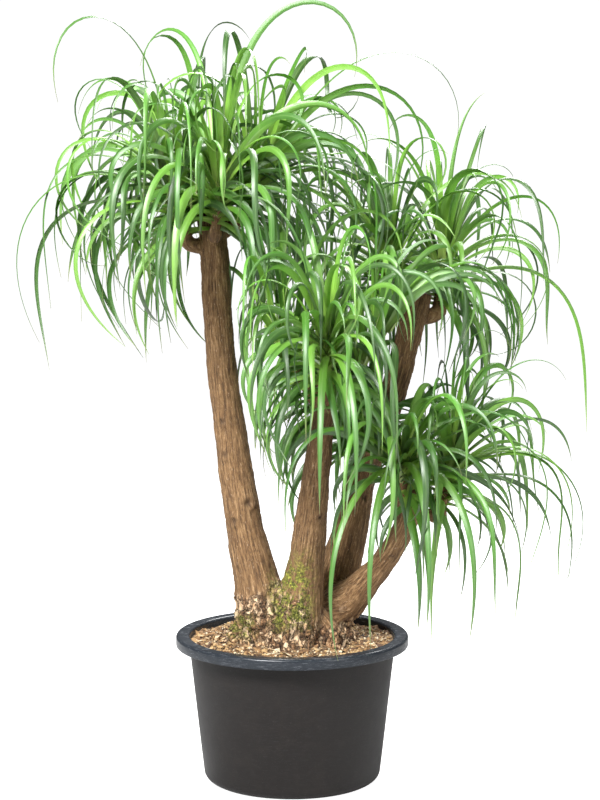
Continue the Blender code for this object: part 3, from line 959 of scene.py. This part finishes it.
def make_chips():
    rng = random.Random(SEED)
    shape = bmesh.new()
    layer = shape.verts.layers.float.new("tone")
    edge = wall_radius(SOIL_LEVEL) - 0.006
    places = []
    for _ in range(BARK_CHIPS + GRIT):
        r = edge * math.sqrt(rng.uniform(0.12, 1))
        a = rng.uniform(0, 2 * math.pi)
        places.append((r * math.cos(a), r * math.sin(a)))
    for number, ((x, y), ground) in enumerate(zip(places, soil_heights(places))):
        if number < BARK_CHIPS:
            long = rng.uniform(0.004, 0.011) if rng.random() < 0.90 else rng.uniform(0.012, 0.022)
            size = (long, long * rng.uniform(0.30, 0.70), rng.uniform(0.0018, 0.0045))
            tone = min(1, max(0, rng.gauss(0.54, 0.26)))
        else:
            grain = rng.uniform(0.0018, 0.0045)
            size = (grain, grain * rng.uniform(0.7, 1), grain * rng.uniform(0.6, 1))
            tone = rng.choice((0.05, 0.15, 0.45, 0.7, 0.95, 1.0))
        add_chip(shape, layer, rng, (x, y, ground + size[2] * 0.4), size, tone)
    mesh = bpy.data.meshes.new("soil_chips")
    bmesh.ops.recalc_face_normals(shape, faces=shape.faces)
    shape.to_mesh(mesh)
    shape.free()
    chips = new_piece("soil_chips", mesh, chip_material())


# ---------------------------------------------------------------- leaves


def leaf_line(start, heading, length, bend, drift, curl):
    """Places and headings along a leaf, which bends down under its weight, drifts, and curls at its tip."""
    step = length / LEAF_SECTIONS
    places, headings = [start.copy()], [heading.copy()]
    hinge = heading.cross(DOWN)
    hinge = hinge.normalized() if hinge.length > 0.02 else Vector((1, 0, 0))
    for k in range(LEAF_SECTIONS):
        t = (k + 0.5) / LEAF_SECTIONS
        weight = (bend[0] + (bend[1] - bend[0]) * t**1.3) * heading.cross(DOWN).dot(hinge)
        turn = (weight + curl * max(0.0, t - 0.25) * 1.6) * step
        sideways = Matrix.Rotation(drift * step * (0.3 + t), 3, "Z")
        hinge = sideways @ hinge
        heading = (sideways @ (Matrix.Rotation(turn, 3, hinge) @ heading)).normalized()
        places.append(places[-1] + heading * step)
        headings.append(heading.copy())
    return places, headings


def width_at(t, width):
    """Full width along a leaf: a broad clasping foot, a long even blade, and a thread of a tip."""
    foot = 1 + 0.5 * math.exp(-t * 30)
    taper = (1 - t**3.2) * (1 - 0.30 * t)
    return width * foot * (0.72 + 0.28 * smoothstep(0, 0.2, t)) * max(taper, 0.035)


class LeafMesh:
    """Gathers the leaves of one whorl into one mesh with its attributes."""

    SECTION = ((-1, 0), (-0.55, 0), (0, 0), (0.55, 0), (1, 0), (0.55, -1), (0, -1), (-0.55, -1))

    def __init__(self):
        self.points, self.faces = [], []
        self.along, self.across, self.tone, self.young = [], [], [], []

    def add(self, places, headings, across, width, twist, fold, tone, young):
        first = len(self.points)
        sides = len(self.SECTION)
        for k, (place, heading) in enumerate(zip(places, headings)):
            t = k / LEAF_SECTIONS
            across = (across - heading * across.dot(heading)).normalized()
            across = Matrix.Rotation(twist / LEAF_SECTIONS, 3, heading) @ across
            normal = across.cross(heading)
            half = width_at(t, width) / 2
            thick = LEAF_THICKNESS * (1.6 - t)
            channel = half * (fold * (1 - 0.55 * t) + 0.5 * math.exp(-t * 14))
            for x, under in self.SECTION:
                rise = channel * abs(x) ** 1.4 + under * thick * (1 - abs(x) ** 3 * 0.7)
                self.points.append(place + across * x * half + normal * rise)
                self.along.append(t)
                self.across.append(x)
                self.tone.append(tone)
                self.young.append(young)
        for k in range(LEAF_SECTIONS):
            a, b = first + k * sides, first + (k + 1) * sides
            for s in range(sides):
                n = (s + 1) % sides
                self.faces.append((a + s, b + s, b + n, a + n))
        self.faces.append([first + s for s in range(sides)])
        self.faces.append([first + LEAF_SECTIONS * sides + s for s in reversed(range(sides))])

    def add_core(self, low, high):
        """The short shoot itself, which the leaves clasp, from one point of its axis to another."""
        first = len(self.points)
        axis = (high - low).normalized()
        level = axis.cross(Vector((0, 1, 0))).normalized()
        for centre, radius in ((low, 0.0085), (high, 0.0060)):
            for k in range(CORE_SIDES):
                around = Matrix.Rotation(2 * math.pi * k / CORE_SIDES, 3, axis) @ level
                self.points.append(centre + around * radius)
        count = 2 * CORE_SIDES
        for values, value in ((self.along, 0.03), (self.across, 0.5), (self.tone, 0.45), (self.young, 0.2)):
            values.extend([value] * count)
        for k in range(CORE_SIDES):
            n = (k + 1) % CORE_SIDES
            self.faces.append((first + k, first + n, first + CORE_SIDES + n, first + CORE_SIDES + k))
        self.faces.append([first + k for k in reversed(range(CORE_SIDES))])
        self.faces.append([first + CORE_SIDES + k for k in range(CORE_SIDES)])

    def mesh(self, name):
        made = mesh_from(name, self.points, self.faces)
        made.set_sharp_from_angle(angle=math.radians(50))
        for key in ("along", "across", "tone", "young"):
            store(made, key, getattr(self, key))
        return made


def stem_points():
    """(x, y, z, radius) every 10 mm along the stems, for keeping leaves out of the wood."""
    return np.concatenate([smooth_route(route, 0.01) for route in STEMS.values()])


def hides_stem(line):
    """Whether a leaf hangs down right in front of a stem, where the leaves part."""
    for stem, low, high, margin in PARTINGS:
        x, y, z, radius = np.array(STEMS[stem]).T
        level = line[:, 2]
        beside = np.abs(line[:, 0] - np.interp(level, z, x)) > np.interp(level, z, radius) + margin
        in_front = line[:, 1] < np.interp(level, z, y)
        if (~beside & in_front & (low < level) & (level < high)).any():
            return True
    return False


def is_free(places, wood):
    """Whether a leaf keeps out of the stems, the pot and the soil, and inside the frame's box."""
    line = np.array([tuple(p) for p in places[CLASPED:]])
    apart = np.linalg.norm(line[:, None] - wood[None, :, :3], axis=2)
    if (apart < wood[None, :, 3] + 0.002).any():
        return False
    spread = np.hypot(line[:, 0], line[:, 1])
    if ((line[:, 2] < POT_HEIGHT + 0.004) & (spread < RIM_RADIUS + 0.01)).any():
        return False
    room = np.array(MOST_ROOM)
    return bool((line > room[0]).all() and (line < room[1]).all() and (line[:, 2] > LOWEST_OF_ALL).all())


def leaf_start(foot, axis, rise, azimuth, lean):
    """(start, heading, across) of a leaf at a height on its shoot, an azimuth round it and a lean."""
    level = axis.cross(Vector((0, 1, 0))).normalized()
    side = Matrix.Rotation(azimuth, 3, axis) @ level
    heading = (axis * math.cos(lean) + side * math.sin(lean)).normalized()
    start = foot + axis * rise + side * 0.006
    return start, heading, axis.cross(side).normalized()


def make_whorl(shoot, tier, wood, material, rng):
    """One whorl: leaves at golden-angle steps, each with its own lean, length, bend, twist and tone."""
    stem, foot, direction, usual = SHOOTS[shoot]
    foot, axis = Vector(foot), Vector(direction).normalized()
    spec = TIERS[tier]
    gathered = LeafMesh()
    gathered.add_core(foot + axis * (spec["rise"][0] - 0.006), foot + axis * (spec["rise"][1] + 0.004))
    turn = rng.uniform(0, 2 * math.pi)
    for number in range(spec["leaves"]):
        for _ in range(TRIES):
            share = (number + rng.random()) / spec["leaves"]
            azimuth = turn + number * GOLDEN_ANGLE + rng.gauss(0, 0.16)
            rise = spec["rise"][0] + (spec["rise"][1] - spec["rise"][0]) * share
            lean = spec["lean"][1] + (spec["lean"][0] - spec["lean"][1]) * share
            lean = math.radians(lean + rng.gauss(0, 5))
            shortest, longest = spec["reach"]
            length = usual * (shortest + (longest - shortest) * rng.random() ** 1.25)
            bend = (spec["bend"][0] * rng.uniform(0.6, 1.6), spec["bend"][1] * rng.uniform(0.65, 1.35))
            start, heading, across = leaf_start(foot, axis, rise, azimuth, lean)
            drift = rng.gauss(0, 3.0)
            curl = max(0.5, rng.gauss(8, 8))
            places, headings = leaf_line(start, heading, length, bend, drift, curl)
            line = np.array([tuple(p) for p in places[CLASPED:]])
            too_low = line[:, 2].min() < LOWEST[stem] - rng.expovariate(60)
            if not too_low and not hides_stem(line) and is_free(places, wood):
                width = LEAF_WIDTH * rng.uniform(0.72, 1.12) * spec["width"]
                young = spec["young"] * rng.uniform(0.5, 1.15)
                twist = rng.gauss(0, 1.1)
                fold = LEAF_FOLD * rng.uniform(0.6, 1.5)
                gathered.add(places, headings, across, width, twist, fold, rng.random(), min(1, young))
                break
    if tier == "inner":
        for azimuth, lean, length, bend, curl in LONG_LEAVES.get(shoot, ()):
            azimuth, lean = math.radians(azimuth), math.radians(lean)
            start, heading, across = leaf_start(foot, axis, LONG_LEAF_RISE, azimuth, lean)
            places, headings = leaf_line(start, heading, length, bend, 0.0, curl)
            if is_free(places, wood):
                gathered.add(places, headings, across, LEAF_WIDTH * 0.9, 0.3, LEAF_FOLD, 0.4, 0.4)
    name = f"{shoot}_{tier}_leaves"
    whorl = new_piece(name, gathered.mesh(name), material)
    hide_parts(f"{shoot}_shoot_{tier}_leaves")


def make_leaves():
    rng = random.Random(SEED)
    wood = stem_points()
    material = leaf_material()
    for shoot in SHOOTS:
        for tier in TIERS:
            make_whorl(shoot, tier, wood, material, rng)


# ---------------------------------------------------------------- studio


def add_area(name, place, target, size, power):
    lamp = bpy.data.lights.new(name, "AREA")
    lamp.shape = "RECTANGLE"
    lamp.size, lamp.size_y = size
    lamp.energy = power
    obj = bpy.data.objects.new(name, lamp)
    bpy.context.scene.collection.objects.link(obj)
    obj.location = place
    obj.rotation_euler = (Vector(target) - Vector(place)).to_track_quat("-Z", "Y").to_euler()


def make_studio():
    """A pale floor under soft white light, the main light high on the left in front."""
    mesh = mesh_from("floor", [(-9, -9, 0), (9, -9, 0), (9, 9, 0), (-9, 9, 0)], [(0, 1, 2, 3)], False)
    mesh.transform(Matrix.Translation((0, 0, -0.0004)))
    mesh.materials.append(floor_material())
    floor = bpy.data.objects.new("floor", mesh)
    bpy.context.scene.collection.objects.link(floor)
    world = bpy.data.worlds.new("studio")
    world.use_nodes = True
    nodes, links = world.node_tree.nodes, world.node_tree.links
    seen = nodes["Background"]
    seen.inputs["Color"].default_value = (1.0, 1.0, 1.0, 1)
    seen.inputs["Strength"].default_value = 1.05
    lighting = nodes.new("ShaderNodeBackground")
    lighting.inputs["Color"].default_value = (0.94, 0.97, 1.0, 1)
    lighting.inputs["Strength"].default_value = 0.13
    mix = nodes.new("ShaderNodeMixShader")
    links.new(nodes.new("ShaderNodeLightPath").outputs["Is Camera Ray"], mix.inputs[0])
    links.new(lighting.outputs[0], mix.inputs[1])
    links.new(seen.outputs[0], mix.inputs[2])
    links.new(mix.outputs[0], nodes["World Output"].inputs["Surface"])
    bpy.context.scene.world = world
    add_area("key", (-1.4, -2.4, 3.0), (0, 0, 0.8), (1.4, 1.1), 330)
    add_area("fill", (2.4, -2.4, 1.4), (0, 0, 0.6), (0.9, 1.8), 44)
    add_area("back", (0.5, 1.9, 2.6), (0, 0, 0.9), (1.6, 1.2), 120)
    bpy.context.scene.view_settings.view_transform = "Standard"


def make_camera():
    """The view: level with the leaves, 3.6 m in front, looking a little down."""
    data = bpy.data.cameras.new("camera")
    data.sensor_fit = "VERTICAL"
    data.sensor_height = 36
    data.lens = CAMERA_LENS
    camera = bpy.data.objects.new("camera", data)
    bpy.context.scene.collection.objects.link(camera)
    camera.location = CAMERA_PLACE
    camera.rotation_euler = (math.radians(90 - CAMERA_TILT), 0, 0)
    bpy.context.scene.camera = camera


def inside_room(low, high):
    """The CAD box with the room that leaves may stand proud of it, less a safe 4 mm."""
    spare = [(b - a) * 0.03 + 0.006 for a, b in zip(low, high)]
    spare[2] = 0.026
    return [[a - s for a, s in zip(low, spare)], [b + s for b, s in zip(high, spare)]]


MOST_ROOM = inside_room(*cad_box)
make_pot()
make_wood()
make_soil()
make_chips()
make_leaves()
make_studio()
make_camera()
